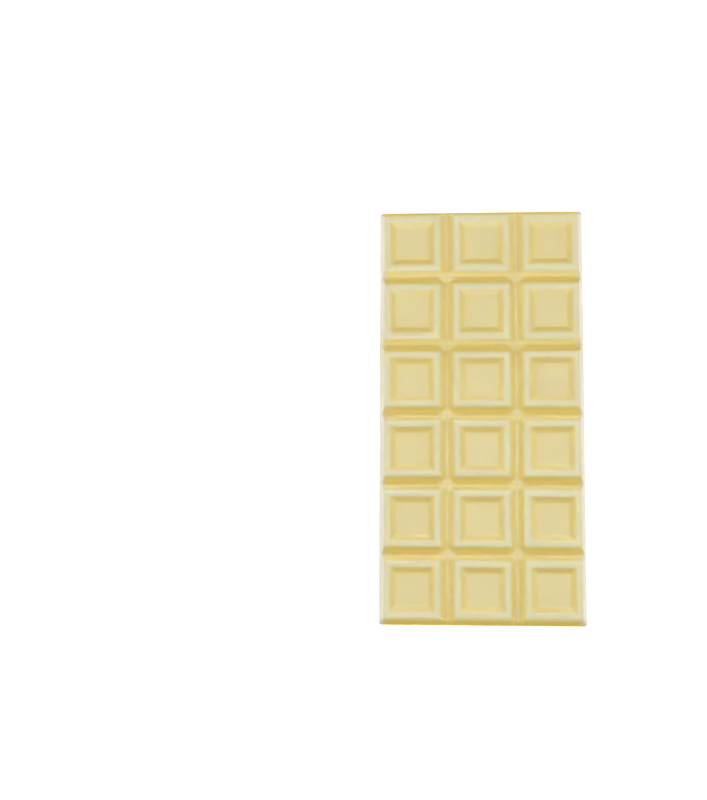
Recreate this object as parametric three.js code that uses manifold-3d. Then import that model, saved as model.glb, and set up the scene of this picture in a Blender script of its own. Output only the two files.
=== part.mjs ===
// A moulded bar of white chocolate: three columns by six rows of squares on one slab.
// X runs across the bar, Y along it and Z up. The origin is the middle of the flat back.
import * as THREE from "three";
import { ParametricGeometry } from "three/addons/geometries/ParametricGeometry.js";
import { mergeVertices } from "three/addons/utils/BufferGeometryUtils.js";
import Module from "manifold-3d";

const { lerp } = THREE.MathUtils;

// Driving dimensions, in millimetres
const COLUMNS = 3;
const ROWS = 6;
const PITCH = 25.8; // from the middle of one square to the next, both ways
const BAR_HEIGHT = 8;
const SIDE_DRAFT = 2.2; // how far the long sides lean inwards over the bar's height
const END_DRAFT = 3; // the same at the two ends
const BAR_CORNER_RADIUS = 1;

const GROOVE_DEPTH = 3;
const GROOVE_TOP_WIDTH = 5;
const GROOVE_FLOOR_WIDTH = 1.6;

const FRAME_WIDTH = 2.2; // the raised border on top of each square
const RECESS_DEPTH = 1.6; // from the border down to the field inside it
const RECESS_WALL_RUN = 2.1; // how far the recess wall leans inwards

// Corner radii of a square, seen from above
const FRAME_CORNER_RADIUS = 0.8;
const GROOVE_CORNER_RADIUS = 2;
const RECESS_CORNER_RADIUS = 0.8;
const FIELD_CORNER_RADIUS = 0.6;

// How far the rounding of an edge reaches from the sharp edge, along each of its faces
const EDGE_ROUNDING = 0.5;
const FOOT_ROUNDING = 0.6;
const FIELD_ROUNDING = 0.8;
const BACK_ROUNDING = 0.3;

const PLUG = 0.5; // how deep the hidden root of a square goes into the slab

// Mesh fineness
const CORNER_STEPS = 3;
const TURN_STEPS = 2;

// Derived sizes
const GROOVE_FLOOR_Z = BAR_HEIGHT - GROOVE_DEPTH;
const FIELD_Z = BAR_HEIGHT - RECESS_DEPTH;
const TOP_HALF_WIDTH = (COLUMNS * PITCH - GROOVE_TOP_WIDTH) / 2; // to the outer top edge
const TOP_HALF_LENGTH = (ROWS * PITCH - GROOVE_TOP_WIDTH) / 2;

const whiteChocolate = new THREE.MeshStandardMaterial({
  color: "#e2d49c",
  roughness: 0.45,
  metalness: 0,
});

// How far down the outer side a height is, from 0 at the top edge to 1 at the back.
function shareOfFall(height) {
  return (BAR_HEIGHT - height) / BAR_HEIGHT;
}

// The point at a distance from one point towards another.
function towards(from, to, distance) {
  return to.clone().sub(from).setLength(distance).add(from);
}

// The rounding of a corner between two others, reaching the same distance along both faces.
function roundedTurn(before, corner, after, reach) {
  const start = towards(corner, before, reach);
  const end = towards(corner, after, reach);
  return new THREE.QuadraticBezierCurve(start, corner, end).getPoints(TURN_STEPS);
}

// The ring of points round a rectangle with a radius for each corner, counter-clockwise.
function roundedRectangle({ xMin, xMax, yMin, yMax, radii, z }) {
  const corners = [
    [xMax, yMax, 1, 1],
    [xMin, yMax, -1, 1],
    [xMin, yMin, -1, -1],
    [xMax, yMin, 1, -1],
  ];
  return corners.flatMap(([x, y, xSign, ySign], corner) => {
    const radius = radii[corner];
    const points = [];
    for (let step = 0; step <= CORNER_STEPS; step += 1) {
      const angle = (Math.PI / 2) * (corner + step / CORNER_STEPS);
      const pointX = x - xSign * radius + radius * Math.cos(angle);
      const pointY = y - ySign * radius + radius * Math.sin(angle);
      points.push(new THREE.Vector3(pointX, pointY, z));
    }
    return points;
  });
}

// All the points of a ring drawn together at the middle of its level, which closes a loft.
function closingRing({ xMin, xMax, yMin, yMax, z }, count) {
  const middle = new THREE.Vector3((xMin + xMax) / 2, (yMin + yMax) / 2, z);
  return new Array(count).fill(middle);
}

// A closed skin over rectangles given from the bottom up, or on and down into a recess.
function loft(levels) {
  const rings = levels.map(roundedRectangle);
  const around = rings[0].length;
  rings.unshift(closingRing(levels[0], around));
  rings.push(closingRing(levels.at(-1), around));
  const stacks = rings.length - 1;
  const skin = (u, v, target) => {
    const ring = rings[Math.round(v * stacks)];
    target.copy(ring[Math.round(u * around) % around]);
  };
  return new ParametricGeometry(skin, around, stacks);
}

// The slab below the grooves, with drafted sides and a flat back.
function slabGeometry() {
  const backMiddle = new THREE.Vector2(TOP_HALF_WIDTH, 0);
  const backEdge = new THREE.Vector2(0, 0);
  const lean = SIDE_DRAFT * (1 - shareOfFall(GROOVE_FLOOR_Z));
  const sideTop = new THREE.Vector2(lean, GROOVE_FLOOR_Z);
  const section = [...roundedTurn(backMiddle, backEdge, sideTop, BACK_ROUNDING), sideTop];
  const levels = section.map(({ x: inset, y: z }) => {
    const fall = shareOfFall(z);
    const rounded = inset - SIDE_DRAFT * (1 - fall); // what the rounding takes off the side
    const halfWidth = TOP_HALF_WIDTH + SIDE_DRAFT * fall - rounded;
    const halfLength = TOP_HALF_LENGTH + END_DRAFT * fall - rounded;
    return {
      xMin: -halfWidth,
      xMax: halfWidth,
      yMin: -halfLength,
      yMax: halfLength,
      radii: new Array(4).fill(BAR_CORNER_RADIUS),
      z,
    };
  });
  return loft(levels);
}

// The section of a square from its root to the edge of its field, as levels. Each has its
// distance in from the groove's middle line or, on an outer side, from the top edge and its
// share of the side's fall, and its corner radius, which is another one at a bar corner.
function squareSection() {
  const foot = new THREE.Vector2(GROOVE_FLOOR_WIDTH / 2, GROOVE_FLOOR_Z);
  const edge = new THREE.Vector2(GROOVE_TOP_WIDTH / 2, BAR_HEIGHT);
  const brink = new THREE.Vector2(edge.x + FRAME_WIDTH, BAR_HEIGHT);
  const field = new THREE.Vector2(brink.x + RECESS_WALL_RUN, FIELD_Z);
  const grooveMiddle = new THREE.Vector2(0, GROOVE_FLOOR_Z);
  const fieldMiddle = new THREE.Vector2(PITCH / 2, FIELD_Z);

  const outerFace = [
    ...roundedTurn(grooveMiddle, foot, edge, FOOT_ROUNDING),
    ...roundedTurn(foot, edge, brink, EDGE_ROUNDING),
  ];
  const innerFace = [
    ...roundedTurn(edge, brink, field, EDGE_ROUNDING),
    ...roundedTurn(brink, field, fieldMiddle, FIELD_ROUNDING),
  ];

  const plug = {
    z: GROOVE_FLOOR_Z - PLUG,
    fromGroove: foot.x + PLUG,
    fromTopEdge: PLUG,
    fall: shareOfFall(GROOVE_FLOOR_Z),
    radius: GROOVE_CORNER_RADIUS,
    barCornerRadius: BAR_CORNER_RADIUS,
  };
  const outer = outerFace.map(({ x, y }) => {
    const rise = (y - GROOVE_FLOOR_Z) / GROOVE_DEPTH;
    const rounded = x - lerp(foot.x, edge.x, rise); // what the rounding takes off the face
    return {
      z: y,
      fromGroove: x,
      fromTopEdge: Math.max(0, rounded),
      fall: shareOfFall(y),
      radius: lerp(GROOVE_CORNER_RADIUS, FRAME_CORNER_RADIUS, rise),
      barCornerRadius: BAR_CORNER_RADIUS,
    };
  });
  const inner = innerFace.map(({ x, y }) => {
    const sunk = (BAR_HEIGHT - y) / RECESS_DEPTH;
    const radius = lerp(RECESS_CORNER_RADIUS, FIELD_CORNER_RADIUS, sunk);
    return {
      z: y,
      fromGroove: x,
      fromTopEdge: x - edge.x,
      fall: 0,
      radius,
      barCornerRadius: radius,
    };
  });
  return [plug, ...outer, ...inner];
}

// One square, in its place on the slab.
function squareGeometry(section, column, row) {
  const isLeft = column === 0;
  const isRight = column === COLUMNS - 1;
  const isFront = row === 0;
  const isBack = row === ROWS - 1;
  const cellX = (column - COLUMNS / 2) * PITCH;
  const cellY = (row - ROWS / 2) * PITCH;
  const levels = section.map((level) => {
    const { z, fromGroove, fromTopEdge, fall } = level;
    const halfWidth = TOP_HALF_WIDTH + SIDE_DRAFT * fall - fromTopEdge;
    const halfLength = TOP_HALF_LENGTH + END_DRAFT * fall - fromTopEdge;
    const cornerRadius = (atBarCorner) => (atBarCorner ? level.barCornerRadius : level.radius);
    return {
      xMin: isLeft ? -halfWidth : cellX + fromGroove,
      xMax: isRight ? halfWidth : cellX + PITCH - fromGroove,
      yMin: isFront ? -halfLength : cellY + fromGroove,
      yMax: isBack ? halfLength : cellY + PITCH - fromGroove,
      radii: [
        cornerRadius(isRight && isBack),
        cornerRadius(isLeft && isBack),
        cornerRadius(isLeft && isFront),
        cornerRadius(isRight && isFront),
      ],
      z,
    };
  });
  return loft(levels);
}

const wasm = await Module();
wasm.setup();

// A closed geometry as a solid that can be joined.
function solidOf(geometry) {
  const bare = geometry.clone();
  bare.deleteAttribute("normal");
  bare.deleteAttribute("uv");
  const merged = mergeVertices(bare);
  return new wasm.Manifold(
    new wasm.Mesh({
      numProp: 3,
      vertProperties: merged.attributes.position.array,
      triVerts: new Uint32Array(merged.index.array),
    }),
  );
}

// A solid as a geometry that a mesh can show.
function geometryOf(solid) {
  const { numProp, vertProperties, triVerts } = solid.getMesh();
  const interleaved = new THREE.InterleavedBuffer(vertProperties, numProp);
  const position = new THREE.InterleavedBufferAttribute(interleaved, 3, 0);
  const geometry = new THREE.BufferGeometry();
  geometry.setAttribute("position", position);
  geometry.setIndex(new THREE.BufferAttribute(triVerts, 1));
  return geometry.toNonIndexed();
}

function chocolateBar() {
  const section = squareSection();
  let bar = solidOf(slabGeometry());
  for (let column = 0; column < COLUMNS; column += 1) {
    for (let row = 0; row < ROWS; row += 1) {
      bar = bar.add(solidOf(squareGeometry(section, column, row)));
    }
  }
  const geometry = geometryOf(bar);
  geometry.computeVertexNormals();
  const mesh = new THREE.Mesh(geometry, whiteChocolate);
  mesh.name = "chocolate_bar";
  return mesh;
}

const part = new THREE.Group();
part.add(chocolateBar());

export default part;
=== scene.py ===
"""The looks of a moulded bar of white chocolate, three columns by six rows of squares.

X runs across the bar, Y along it and Z up, in metres. The bar lies on its flat back.
"""

import math

import bpy
import numpy as np
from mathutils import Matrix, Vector


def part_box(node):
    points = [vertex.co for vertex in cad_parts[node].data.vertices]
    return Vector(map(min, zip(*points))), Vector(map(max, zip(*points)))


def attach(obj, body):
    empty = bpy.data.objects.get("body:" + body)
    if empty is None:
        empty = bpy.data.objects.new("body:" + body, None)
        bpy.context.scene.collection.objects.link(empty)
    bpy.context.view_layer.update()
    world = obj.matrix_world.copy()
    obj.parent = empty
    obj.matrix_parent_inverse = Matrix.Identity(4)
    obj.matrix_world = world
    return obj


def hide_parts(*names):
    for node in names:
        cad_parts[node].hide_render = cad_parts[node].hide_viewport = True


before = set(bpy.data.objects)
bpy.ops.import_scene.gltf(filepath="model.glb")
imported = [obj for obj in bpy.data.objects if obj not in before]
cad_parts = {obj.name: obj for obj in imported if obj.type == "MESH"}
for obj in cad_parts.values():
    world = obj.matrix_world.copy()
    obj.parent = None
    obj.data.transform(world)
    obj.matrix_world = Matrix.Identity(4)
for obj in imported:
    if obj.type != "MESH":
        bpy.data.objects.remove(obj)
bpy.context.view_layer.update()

MM = 0.001

# The bar's sizes, which its solid has too
COLUMNS = 3
ROWS = 6
PITCH = 25.8 * MM
BAR_CORNER_RADIUS = 1.0 * MM
GROOVE_DEPTH = 3.0 * MM
GROOVE_TOP_WIDTH = 5.0 * MM
GROOVE_FLOOR_WIDTH = 1.6 * MM
FRAME_WIDTH = 2.2 * MM
RECESS_DEPTH = 1.6 * MM
RECESS_WALL_RUN = 2.1 * MM

# The highest corner of the solid's box, which has the origin in the middle of its underside
HALF_WIDTH, HALF_LENGTH, BAR_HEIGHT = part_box("chocolate_bar")[1]

# How far the long sides and the ends lean inwards over the bar's height
SIDE_DRAFT = HALF_WIDTH - (COLUMNS * PITCH - GROOVE_TOP_WIDTH) / 2
END_DRAFT = HALF_LENGTH - (ROWS * PITCH - GROOVE_TOP_WIDTH) / 2

# Places along a section, from a groove's middle line to the middle of a square
FOOT = GROOVE_FLOOR_WIDTH / 2
EDGE = GROOVE_TOP_WIDTH / 2
BRINK = EDGE + FRAME_WIDTH
FIELD = BRINK + RECESS_WALL_RUN
MIDDLE = PITCH / 2

# How wide the turns between two faces are, seen from above, on each side of the sharp edge
FOOT_TURN = 0.6 * MM
EDGE_TURN = 0.8 * MM
BRINK_TURN = 0.5 * MM
FIELD_TURN = 0.5 * MM
SIDE_TURN_HEIGHT = 1.0 * MM  # how far down the rounding of the outer top edge reaches

# Corners seen from above
GROOVE_CORNER_RADIUS = 3.2 * MM  # on a groove's middle line, less on the way up
RECESS_CORNER_TURN = 0.9 * MM

# Unevenness of the moulded faces: how far they wander and over what distance
EDGE_WANDER = 0.03 * MM
EDGE_WAVELENGTH = 40 * MM
EDGE_SEEDS = (1, 2)  # for the wander in X and in Y
TOP_WANDER = 0.02 * MM
TOP_WAVELENGTH = 22 * MM
TOP_SEED = 3
WAVE_COUNT = 7
WAVE_STRETCH = (0.6, 1.6)  # the range of the single waves' lengths, in wavelengths
KEPT_INSIDE = 0.9994  # draws the top in sideways, so the wandering stays inside the solid
KEPT_BELOW = 0.994  # the same for the heights

# The back, which was the open side of the mould. Its runs and rings are in rim widths
BACK_RIM_WIDTH = 0.9 * MM
BACK_EDGE_HEIGHT = 0.25 * MM
BACK_EDGE_RUN = 0.5  # how far in the edge's rounding ends
BACK_SINK = 0.12 * MM
BACK_SINK_RUN = 3  # from the rim to the full depth of the dish
BACK_RINGS = (0.08, 0.2, 0.35, 0.5, 0.75, 1.0, 1.6, 2.6, 4.0)
MIDDLE_RINGS = 12
BACK_WANDER = 0.04 * MM
BACK_WAVELENGTH = 26 * MM
BACK_SEED = 4
WANDER_ONSET_RINGS = 4  # the middle rings over which the back's wander comes in

# Mesh lines: how many there are over each turn, half a field, a side and its top edge
TURN_LINES = 5
FIELD_LINES = 4
SIDE_LINES = 8
TOP_EDGE_LINES = 6
CLEAR_OF_TOP_EDGE = 1.5 * EDGE_TURN  # how far before a top edge the squares' lines stop
SAME_LINE_DECIMALS = 7  # lines that agree so far, in metres, are one

# Where painted shade turns the leaning faces a deeper colour: its start, its full part and
# its end
SLOPE_TONE = (0.1 * MM, 1.3 * MM, 1.6 * MM, 2.9 * MM)  # from a groove's middle line
WALL_TONE = (4.0 * MM, 5.6 * MM, 6.1 * MM, 7.9 * MM)  # from the edge of a square's cell

# Places made paler by painted light: where two grooves cross and the floors of the long
# grooves; and the long sides, by painted sheen
CROSSING_REACH = 4.6 * MM
CROSSING_GAIN = 1.5  # above 1, so the pale tone is even round the middle of a crossing
CROSSING_PALENESS = 0.6
LONG_FLOOR_REACH = 1.5 * MM  # to each side of a long groove's middle line
PALE_MARGIN = 2.0 * MM  # how far in from the long sides' top edge their tone starts

# The painted shade that turns the ends golden, which grows on the way down and fades again at
# the foot
END_TONE_GAIN = 1.2
END_TONE_CURVE = 0.5  # below 1, so the gold starts close under the ends' top edge
FOOT_FADE_HEIGHT = 1.4 * MM
FOOT_FADE = 0.85  # the share of it that is gone at the very foot

BACK_TONE = "pale"  # the one place that the whole back counts as
TINY = 1e-12  # stands in for zero where something is divided by it


# Form


def waves(x, y, wavelength, seed):
    """A smooth uneven field of about -1 to 1, from a few crossing waves."""
    rng = np.random.default_rng(seed)
    total = np.zeros_like(x)
    for _ in range(WAVE_COUNT):
        heading = rng.uniform(0, 2 * math.pi)
        phase = rng.uniform(0, 2 * math.pi)
        stretch = rng.uniform(*WAVE_STRETCH)
        along = x * math.cos(heading) + y * math.sin(heading)
        total += np.sin(2 * math.pi * along / (wavelength * stretch) + phase)
    return total / math.sqrt(WAVE_COUNT)


def smooth_step(value):
    """An even rise from 0 to 1 with soft ends."""
    value = np.clip(value, 0, 1)
    return value * value * (3 - 2 * value)


def share_between(distance, start, full, fading, end):
    """0 outside start and end and 1 between full and fading, with soft steps."""
    rising = smooth_step((distance - start) / (full - start))
    return rising * smooth_step((end - distance) / (end - fading))


def ramp(distance, start, turn):
    """0 before start and the distance past it after, with a round turn between them."""
    past = distance - start
    turning = (past + turn) ** 2 / (4 * turn)
    return np.where(past < -turn, 0.0, np.where(past > turn, past, turning))


def smooth_minimum(first, second, reach):
    """The lesser of two fields, rounded where they are closer than reach."""
    overlap = np.maximum(reach - np.abs(first - second), 0)
    return np.minimum(first, second) - overlap**2 / (4 * reach)


def distance_to_grooves(position, count):
    """How far positions along an axis lie from the nearest groove between count squares."""
    lines = (np.arange(1, count) - count / 2) * PITCH
    return np.abs(position[..., None] - lines).min(axis=-1)


def distance_to_cell_edge(position, count):
    """How far positions lie from the edge of their own square's cell."""
    half_span = count * PITCH / 2
    inside = np.clip(position, -half_span, half_span) + half_span
    return MIDDLE - np.abs(inside % PITCH - MIDDLE)


def surface_height(x, y):
    """The height of the moulded side above the back."""
    groove_x = distance_to_grooves(x, COLUMNS)
    groove_y = distance_to_grooves(y, ROWS)
    near_x = np.maximum(GROOVE_CORNER_RADIUS - groove_x, 0)
    near_y = np.maximum(GROOVE_CORNER_RADIUS - groove_y, 0)
    round_corner = GROOVE_CORNER_RADIUS - np.hypot(near_x, near_y)
    at_corner = (near_x > 0) & (near_y > 0)
    from_groove = np.where(at_corner, round_corner, np.minimum(groove_x, groove_y))
    groove_slope = GROOVE_DEPTH / (EDGE - FOOT)
    rise = ramp(from_groove, FOOT, FOOT_TURN) - ramp(from_groove, EDGE, EDGE_TURN)

    from_cell_edge = smooth_minimum(
        distance_to_cell_edge(x, COLUMNS),
        distance_to_cell_edge(y, ROWS),
        RECESS_CORNER_TURN,
    )
    recess_slope = RECESS_DEPTH / RECESS_WALL_RUN
    fall = ramp(from_cell_edge, BRINK, BRINK_TURN) - ramp(from_cell_edge, FIELD, FIELD_TURN)
    squares = BAR_HEIGHT - GROOVE_DEPTH + groove_slope * rise - recess_slope * fall

    up_the_side = np.minimum(
        (HALF_WIDTH - np.abs(x)) / SIDE_DRAFT,
        (HALF_LENGTH - np.abs(y)) / END_DRAFT,
    )
    side = BACK_EDGE_HEIGHT + (BAR_HEIGHT - BACK_EDGE_HEIGHT) * up_the_side
    return smooth_minimum(squares, side, SIDE_TURN_HEIGHT)


def round_bar_corners(x, y):
    """Draws the points near the bar's four corners in, onto round corners."""
    top_edge = np.array([HALF_WIDTH - SIDE_DRAFT, HALF_LENGTH - END_DRAFT])
    draft = np.array([SIDE_DRAFT, END_DRAFT])
    out = (np.abs(np.stack([x, y], axis=-1)) - top_edge) / draft
    in_corner = (out > 0).all(axis=-1)
    level = out.max(axis=-1, keepdims=True)  # 0 at the top edge, 1 at the outline
    core = np.maximum(level - BAR_CORNER_RADIUS / draft, 0)
    arc = out - np.minimum(out, core)
    reach = np.maximum(level - core, TINY)
    share = arc / reach
    angle = math.pi / 4 * share.min(axis=-1)
    angle = np.where(share[:, 0] >= share[:, 1], angle, math.pi / 2 - angle)
    turned = np.stack([np.cos(angle), np.sin(angle)], axis=-1)
    new = (out - arc + reach * turned) * draft + top_edge
    new_x, new_y = np.sign(x) * new[:, 0], np.sign(y) * new[:, 1]
    return np.where(in_corner, new_x, x), np.where(in_corner, new_y, y)


def half_cell_stops():
    """Distances from a groove's middle line to a square's middle, close at the turns."""
    turns = ((FOOT, FOOT_TURN), (EDGE, EDGE_TURN), (BRINK, BRINK_TURN), (FIELD, FIELD_TURN))
    stops = [0.0]
    for place, turn in turns:
        before = place - turn
        stops.append((stops[-1] + before) / 2)
        stops.extend(np.linspace(before, place + turn, TURN_LINES))
    stops.extend(np.linspace(FIELD + FIELD_TURN, MIDDLE, FIELD_LINES)[1:])
    return np.array(stops)


def grid_lines(count, half_span, draft):
    """Where the mesh has lines along one axis, from outline to outline."""
    half_cell = half_cell_stops()
    cell = np.concatenate([half_cell, PITCH - half_cell])
    lines = np.concatenate([cell + (index - count / 2) * PITCH for index in range(count)])
    top_edge = half_span - draft
    lines = lines[np.abs(lines) < top_edge - CLEAR_OF_TOP_EDGE]
    side = np.concatenate([
        np.linspace(half_span, top_edge + EDGE_TURN, SIDE_LINES),
        np.linspace(top_edge + EDGE_TURN, top_edge - EDGE_TURN, TOP_EDGE_LINES)[1:],
    ])
    return np.unique(np.round(np.concatenate([lines, side, -side]), SAME_LINE_DECIMALS))


def grid_faces(index):
    """Four-sided faces between the points of a grid, given as an array of their numbers."""
    corners = [index[:-1, :-1], index[:-1, 1:], index[1:, 1:], index[1:, :-1]]
    return np.stack(corners, axis=-1).reshape(-1, 4).tolist()


def outline_of(index):
    """The numbers of the points on the rim of a grid, once round."""
    return np.concatenate([index[0, :-1], index[:-1, -1], index[-1, :0:-1], index[:0:-1, 0]])


def back_height(rims_in):
    """The height of the back some rim widths in from the outline: an edge, a rim, a dish."""
    edge = BACK_EDGE_HEIGHT * np.maximum(1 - rims_in / BACK_EDGE_RUN, 0) ** 2
    dish = BACK_SINK * np.clip((rims_in - 1) / BACK_SINK_RUN, 0, 1)
    return edge + dish


def back_rings(outline):
    """Rings of points over the back, from close inside the outline to near the middle."""
    rings = []
    for rims_in in BACK_RINGS:
        shrink = 1 - rims_in * BACK_RIM_WIDTH / np.array([HALF_WIDTH, HALF_LENGTH])
        height = np.full((len(outline), 1), back_height(rims_in))
        rings.append(np.hstack([outline[:, :2] * shrink, height]))
    flat_edge = rings[-1]
    for step in range(1, MIDDLE_RINGS):
        share = step / MIDDLE_RINGS
        ring = flat_edge * [1 - share, 1 - share, 1]
        wander = BACK_WANDER * waves(ring[:, 0], ring[:, 1], BACK_WAVELENGTH, BACK_SEED)
        ring[:, 2] += smooth_step(step / WANDER_ONSET_RINGS) * wander
        rings.append(ring)
    return rings


def bar_points_and_faces():
    """The closed skin of the bar, and which of its points are on the back."""
    lines_x = grid_lines(COLUMNS, HALF_WIDTH, SIDE_DRAFT)
    lines_y = grid_lines(ROWS, HALF_LENGTH, END_DRAFT)
    x, y = (field.ravel() for field in np.meshgrid(lines_x, lines_y))
    moulded = np.stack([x, y, surface_height(x, y)], axis=-1)
    index = np.arange(len(x)).reshape(len(lines_y), len(lines_x))
    faces = grid_faces(index)

    ring = outline_of(index)
    rings = back_rings(moulded[ring])
    for step in range(len(rings)):
        inner = len(moulded) + step * len(ring) + np.arange(len(ring))
        sides = [ring, inner, np.roll(inner, -1), np.roll(ring, -1)]
        faces += np.stack(sides, axis=-1).tolist()
        ring = inner
    faces.append(ring[::-1].tolist())
    points = np.concatenate([moulded, *rings])
    return points, faces, np.arange(len(points)) >= len(moulded)


def light_and_shade_shares(x, y, height, facing_end):
    """How far each point of the moulded side is in each place with painted light or shade."""
    groove_x = distance_to_grooves(x, COLUMNS)
    groove_y = distance_to_grooves(y, ROWS)
    on_slope = share_between(np.minimum(groove_x, groove_y), *SLOPE_TONE)

    from_cell_edge = np.minimum(
        distance_to_cell_edge(x, COLUMNS),
        distance_to_cell_edge(y, ROWS),
    )
    past_x = np.abs(x) - (HALF_WIDTH - SIDE_DRAFT)
    past_y = np.abs(y) - (HALF_LENGTH - END_DRAFT)
    on_top = np.maximum(past_x, past_y) <= 0
    on_wall = share_between(from_cell_edge, *WALL_TONE) * on_top

    from_crossing = np.hypot(groove_x, groove_y)
    crossing = smooth_step(CROSSING_GAIN * (1 - from_crossing / CROSSING_REACH))
    in_cross_groove = smooth_step(2 - groove_y / EDGE)  # 1 up to its edge, 0 at twice that
    long_floor = smooth_step(1 - groove_x / LONG_FLOOR_REACH)
    long_floor = long_floor * (1 - (1 - CROSSING_PALENESS) * in_cross_groove)

    fall = np.clip(1 - height / BAR_HEIGHT, 0, 1)
    near_end = past_y > -EDGE_TURN
    gold = np.minimum(END_TONE_GAIN * facing_end * near_end * fall**END_TONE_CURVE, 1)
    at_foot = smooth_step(1 - height / FOOT_FADE_HEIGHT)
    return {
        # painted shade on the recess walls and the groove slopes
        "wall": on_wall,
        "slope": on_slope,
        # painted light at the crossings and on the long grooves' floors
        "pale": np.maximum(CROSSING_PALENESS * crossing, long_floor),
        # painted shade down the ends
        "painted_end_shade": gold * (1 - FOOT_FADE * at_foot),
        # painted sheen on the long sides
        "painted_side_sheen": smooth_step((past_x + PALE_MARGIN) / (SIDE_DRAFT + PALE_MARGIN)),
    }


def mark_painted_light_and_shade(mesh, x, y, height, on_back):
    """Notes on the mesh's points how far they are in each place with painted light or shade.
    """
    normals = np.empty(len(mesh.vertices) * 3, dtype=np.float32)
    mesh.vertex_normals.foreach_get("vector", normals)
    facing_end = normals[1::3] ** 2
    for name, shares in light_and_shade_shares(x, y, height, facing_end).items():
        shares = np.where(on_back, name == BACK_TONE, shares)
        attribute = mesh.attributes.new(name, "FLOAT", "POINT")
        attribute.data.foreach_set("value", shares.astype(np.float32))


def build_bar():
    """The bar's skin as an object, with its corners rounded and its faces slightly uneven."""
    points, faces, on_back = bar_points_and_faces()
    raw_x, raw_y, z = points.T
    x, y = round_bar_corners(raw_x, raw_y)
    height_share = np.clip(z / BAR_HEIGHT, 0, 1)
    drawn_in = 1 - (1 - KEPT_INSIDE) * height_share
    wander_x, wander_y = (
        EDGE_WANDER * waves(raw_x, raw_y, EDGE_WAVELENGTH, seed) for seed in EDGE_SEEDS
    )
    wander_z = TOP_WANDER * waves(raw_x, raw_y, TOP_WAVELENGTH, TOP_SEED)
    x = x * drawn_in + height_share * wander_x
    y = y * drawn_in + height_share * wander_y
    z = z * KEPT_BELOW + height_share * wander_z

    mesh = bpy.data.meshes.new("bar_skin")
    mesh.from_pydata(np.stack([x, y, z], axis=-1).tolist(), [], faces)
    mesh.validate()
    mesh.shade_smooth()
    mark_painted_light_and_shade(mesh, raw_x, raw_y, z, on_back)
    bar = bpy.data.objects.new("bar_skin", mesh)
    bpy.context.scene.collection.objects.link(bar)
    return bar


# Material

# Level faces, with painted shade that deepens their colour down in the recesses and grooves
FRAME_COLOR = (0.87, 0.81, 0.45, 1)
SHADED_FIELD_COLOR = (0.89, 0.76, 0.34, 1)
SHADED_GROOVE_FLOOR_COLOR = (0.73, 0.60, 0.21, 1)

# The places with painted light or shade, in the order in which their colours are laid over
# each other
PAINTED_LIGHT_AND_SHADE_COLORS = {
    # painted shade: the recess walls and the groove slopes a deeper cream
    "wall": (0.92, 0.75, 0.26, 1),
    "slope": (0.96, 0.80, 0.265, 1),
    # painted light makes the crossings and the long grooves' floors paler; the whole back
    # takes this colour too
    "pale": (0.90, 0.77, 0.36, 1),
    # painted shade: the ends golden on the way down
    "painted_end_shade": (0.79, 0.59, 0.09, 1),
    # painted sheen: the long sides paler and greyer
    "painted_side_sheen": (0.70, 0.66, 0.54, 1),
}

# Roughness of the satin faces, and of the ends where painted shade makes them golden
SMOOTHEST = 0.26
ROUGHEST = 0.34
END_ROUGHNESS = 0.9

# Unevenness finer than the mesh. A noise's scale is about its number of spots in a metre
CLOUDS = {"Scale": 130.0, "Detail": 4.0, "Roughness": 0.55}
CLOUD_STRENGTH = 0.07
RIPPLES = {"Scale": 260.0, "Detail": 2.0}
RIPPLE_RELIEF = {"Strength": 0.03, "Distance": 0.25 * MM}
GRAIN = {"Scale": 2600.0, "Detail": 3.0}
GRAIN_RELIEF = {"Strength": 0.08, "Distance": 0.03 * MM}

# How light goes in and comes back
REFRACTION = 1.46  # as in cocoa butter
SHINE = 0.22  # 0.5 is all that the refraction gives
LIGHT_REACH = 2 * MM  # inside the chocolate
LIGHT_REACH_SHARES = (1.0, 0.75, 0.3)  # of red, green and blue light


def add_node(tree, kind, **settings):
    """A shader node with its properties set, and its inputs where the name is one."""
    node = tree.nodes.new(kind)
    for name, value in settings.items():
        if hasattr(node, name):
            setattr(node, name, value)
        else:
            node.inputs[name.replace("_", " ")].default_value = value
    return node


def add_noise(tree, position, settings):
    """A noise that is fixed to the bar."""
    noise = add_node(tree, "ShaderNodeTexNoise", **settings)
    tree.links.new(position, noise.inputs["Vector"])
    return noise.outputs["Fac"]


def shade_by_height(tree, position):
    """The colour of the level faces: paler on top of the squares than down in them, where it
    is painted shade.
    """
    parts = add_node(tree, "ShaderNodeSeparateXYZ")
    tree.links.new(position, parts.inputs[0])
    level = add_node(tree, "ShaderNodeMapRange", From_Max=BAR_HEIGHT)
    tree.links.new(parts.outputs["Z"], level.inputs["Value"])
    tint = add_node(tree, "ShaderNodeValToRGB")
    stops = tint.color_ramp.elements
    stops.new((BAR_HEIGHT - RECESS_DEPTH) / BAR_HEIGHT)
    stops[0].position = (BAR_HEIGHT - GROOVE_DEPTH) / BAR_HEIGHT
    for stop, color in zip(stops, (SHADED_GROOVE_FLOOR_COLOR, SHADED_FIELD_COLOR, FRAME_COLOR)):
        stop.color = color
    tree.links.new(level.outputs["Result"], tint.inputs["Fac"])
    return tint.outputs["Color"]


def paint_light_and_shade(tree, tint):
    """Painted shade makes the leaning faces a deeper cream and the ends golden on the way
    down; painted light makes the crossings and long groove floors paler, and painted sheen
    the long sides pale.
    """
    for name, color in PAINTED_LIGHT_AND_SHADE_COLORS.items():
        share = add_node(tree, "ShaderNodeAttribute", attribute_name=name)
        mixed = add_node(tree, "ShaderNodeMix", data_type="RGBA")
        mixed.inputs["B"].default_value = color
        tree.links.new(share.outputs["Fac"], mixed.inputs["Factor"])
        tree.links.new(tint, mixed.inputs["A"])
        tint = mixed.outputs["Result"]
    return tint


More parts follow.
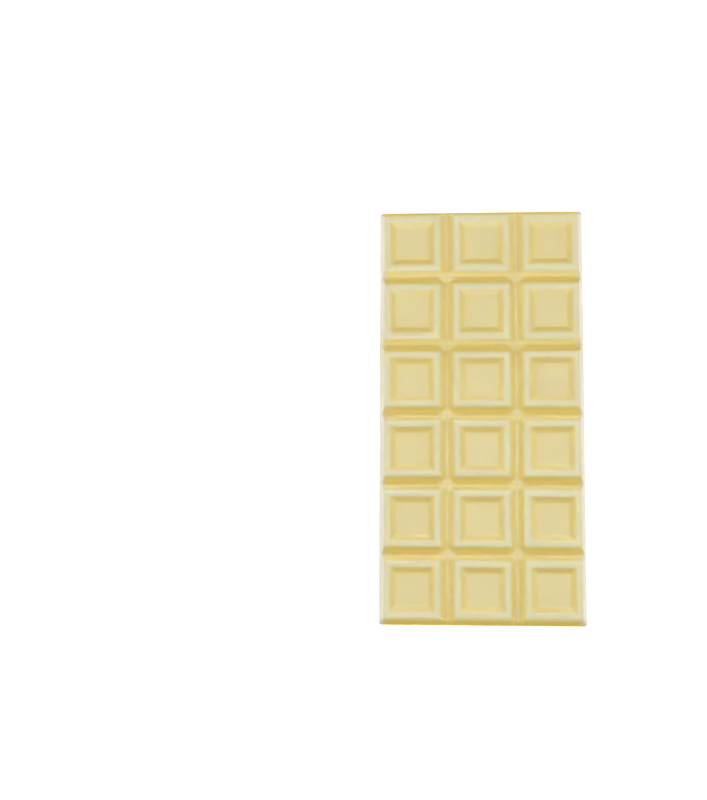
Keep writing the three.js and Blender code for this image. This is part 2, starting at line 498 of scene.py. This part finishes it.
def clouded(tree, tint, clouds):
    """The tint with a faint clouding of the fat and the milk solids."""
    mixed = add_node(tree, "ShaderNodeMix", data_type="RGBA", blend_type="SOFT_LIGHT")
    mixed.inputs["Factor"].default_value = CLOUD_STRENGTH
    tree.links.new(tint, mixed.inputs["A"])
    tree.links.new(clouds, mixed.inputs["B"])
    return mixed.outputs["Result"]


def satin_roughness(tree, clouds):
    """Slightly different from place to place, and matt down the ends."""
    gloss = add_node(tree, "ShaderNodeMapRange", To_Min=SMOOTHEST, To_Max=ROUGHEST)
    tree.links.new(clouds, gloss.inputs["Value"])
    end_share = add_node(tree, "ShaderNodeAttribute", attribute_name="painted_end_shade")
    matt_ends = add_node(tree, "ShaderNodeMapRange", To_Max=END_ROUGHNESS)
    tree.links.new(gloss.outputs["Result"], matt_ends.inputs["To Min"])
    tree.links.new(end_share.outputs["Fac"], matt_ends.inputs["Value"])
    return matt_ends.outputs["Result"]


def uneven_normal(tree, position):
    """Soft ripples from the mould, and a fine grain on top of them."""
    normal = None
    for texture, relief in ((RIPPLES, RIPPLE_RELIEF), (GRAIN, GRAIN_RELIEF)):
        bump = add_node(tree, "ShaderNodeBump", **relief)
        tree.links.new(add_noise(tree, position, texture), bump.inputs["Height"])
        if normal:
            tree.links.new(normal, bump.inputs["Normal"])
        normal = bump.outputs["Normal"]
    return normal


def white_chocolate():
    """Cream-coloured, slightly see-through and satin."""
    material = bpy.data.materials.new("white_chocolate")
    material.use_nodes = True
    tree = material.node_tree
    shader = tree.nodes["Principled BSDF"]
    position = add_node(tree, "ShaderNodeTexCoord").outputs["Object"]
    clouds = add_noise(tree, position, CLOUDS)
    tint = paint_light_and_shade(tree, shade_by_height(tree, position))
    tree.links.new(clouded(tree, tint, clouds), shader.inputs["Base Color"])
    tree.links.new(satin_roughness(tree, clouds), shader.inputs["Roughness"])
    tree.links.new(uneven_normal(tree, position), shader.inputs["Normal"])

    shader.subsurface_method = "BURLEY"
    shader.inputs["Subsurface Weight"].default_value = 1.0
    shader.inputs["Subsurface Radius"].default_value = LIGHT_REACH_SHARES
    shader.inputs["Subsurface Scale"].default_value = LIGHT_REACH
    shader.inputs["IOR"].default_value = REFRACTION
    shader.inputs["Specular IOR Level"].default_value = SHINE
    return material


bar = build_bar()
bar.data.materials.append(white_chocolate())
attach(bar, "root")
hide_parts("chocolate_bar")


# Stage

LENS = 67.9  # in millimetres, like the sensor's width
SENSOR_WIDTH = 36
CAMERA_PLACE = (-13.2 * MM, -49.0 * MM, 499.8 * MM)
CAMERA_TURN = (6.29, 3.96, 0.33)  # degrees away from looking straight down

FLOOR_REACH = 2.5
FLOOR_COLOR = (0.93, 0.93, 0.93, 1)
FLOOR_ROUGHNESS = 0.9
FLOOR_GLOW = 0.65

ROOM_STRENGTH = 0.24
ROOM_COLOR = (1.15, 1.09, 0.94)

# Two cool lights slant down along the bar, each on its own stretch of it
CHANGEOVER_Y = 22 * MM  # up to here the far one shines, and past it the near one
SLANT_REACH = 180 * MM  # the length of each one's stretch
SLANT_WIDTH = 0.5
SLANT_X = -50 * MM  # the middle of that width
SLANT_LEAN = math.radians(46)  # from straight above
SLANT_DISTANCE = 0.58
SLANT_SPREAD = 1  # in degrees, so that a stretch ends sharply
SLANT_POWER = 0.060
SLANT_COLOR = (0.42, 0.64, 1.45)
SLANT_LIGHTS = {"light_from_the_far_side": 1, "light_from_the_near_side": -1}  # along Y

OVERHEAD_PLACE = (0, CHANGEOVER_Y, 0.9)
OVERHEAD_AIM = (0, CHANGEOVER_Y, 0)
OVERHEAD_SIZE = (0.5, 0.5)
OVERHEAD_POWER = 2.6

# A low light beside each of the long sides
LOW_DISTANCE = 0.5
LOW_Y = 0.02
LOW_HEIGHT = 0.15
LOW_SIZE = (0.2, 0.5)
LOW_POWER = 0.5
LOW_LIGHTS = {"low_light_on_the_left": -1, "low_light_on_the_right": 1}  # along X


def pale_floor():
    """A plain white floor under the bar."""
    mesh = bpy.data.meshes.new("floor")
    corners = [(-1, -1), (1, -1), (1, 1), (-1, 1)]
    points = [(x * FLOOR_REACH, y * FLOOR_REACH, 0) for x, y in corners]
    mesh.from_pydata(points, [], [(0, 1, 2, 3)])
    floor = bpy.data.objects.new("floor", mesh)
    bpy.context.scene.collection.objects.link(floor)
    material = bpy.data.materials.new("floor_white")
    material.use_nodes = True
    shader = material.node_tree.nodes["Principled BSDF"]
    shader.inputs["Base Color"].default_value = FLOOR_COLOR
    shader.inputs["Roughness"].default_value = FLOOR_ROUGHNESS
    shader.inputs["Emission Color"].default_value = (1, 1, 1, 1)
    shader.inputs["Emission Strength"].default_value = FLOOR_GLOW
    mesh.materials.append(material)


def room_light():
    """An even pale room all round."""
    world = bpy.data.worlds.new("room")
    world.use_nodes = True
    background = world.node_tree.nodes["Background"]
    background.inputs["Color"].default_value = (*ROOM_COLOR, 1)
    background.inputs["Strength"].default_value = ROOM_STRENGTH
    bpy.context.scene.world = world


def softbox(name, place, aim, size, power, color, spread_degrees=180):
    """A rectangular lamp at a place, facing an aim point, all in metres and watts."""
    light = bpy.data.lights.new(name, "AREA")
    light.shape = "RECTANGLE"
    light.size, light.size_y = size
    light.energy = power
    light.color = color
    light.spread = math.radians(spread_degrees)
    lamp = bpy.data.objects.new(name, light)
    lamp.location = place
    direction = Vector(aim) - Vector(place)
    lamp.rotation_euler = direction.to_track_quat("-Z", "Y").to_euler()
    bpy.context.scene.collection.objects.link(lamp)


def slanting_light(name, side):
    """A light from one side along Y that lights only its own stretch of the bar."""
    middle = CHANGEOVER_Y - side * SLANT_REACH / 2
    away = side * SLANT_DISTANCE * math.sin(SLANT_LEAN)
    above = SLANT_DISTANCE * math.cos(SLANT_LEAN)
    aim = (SLANT_X, middle, BAR_HEIGHT)
    place = (SLANT_X, middle + away, BAR_HEIGHT + above)
    size = (SLANT_WIDTH, SLANT_REACH * math.cos(SLANT_LEAN))
    softbox(name, place, aim, size, SLANT_POWER, SLANT_COLOR, SLANT_SPREAD)


def camera_above():
    """Looks nearly straight down, from a little below the bar's middle."""
    data = bpy.data.cameras.new("camera")
    data.sensor_fit = "HORIZONTAL"
    data.sensor_width = SENSOR_WIDTH
    data.lens = LENS
    camera = bpy.data.objects.new("camera", data)
    camera.location = CAMERA_PLACE
    camera.rotation_euler = [math.radians(angle) for angle in CAMERA_TURN]
    bpy.context.scene.collection.objects.link(camera)
    bpy.context.scene.camera = camera


pale_floor()
room_light()
softbox("overhead", OVERHEAD_PLACE, OVERHEAD_AIM, OVERHEAD_SIZE, OVERHEAD_POWER, ROOM_COLOR)
for name, side in SLANT_LIGHTS.items():
    slanting_light(name, side)
for name, side in LOW_LIGHTS.items():
    low_place = (side * LOW_DISTANCE, LOW_Y, LOW_HEIGHT)
    softbox(name, low_place, (0, LOW_Y, 0), LOW_SIZE, LOW_POWER, ROOM_COLOR)
camera_above()
bpy.context.scene.view_settings.view_transform = "Standard"
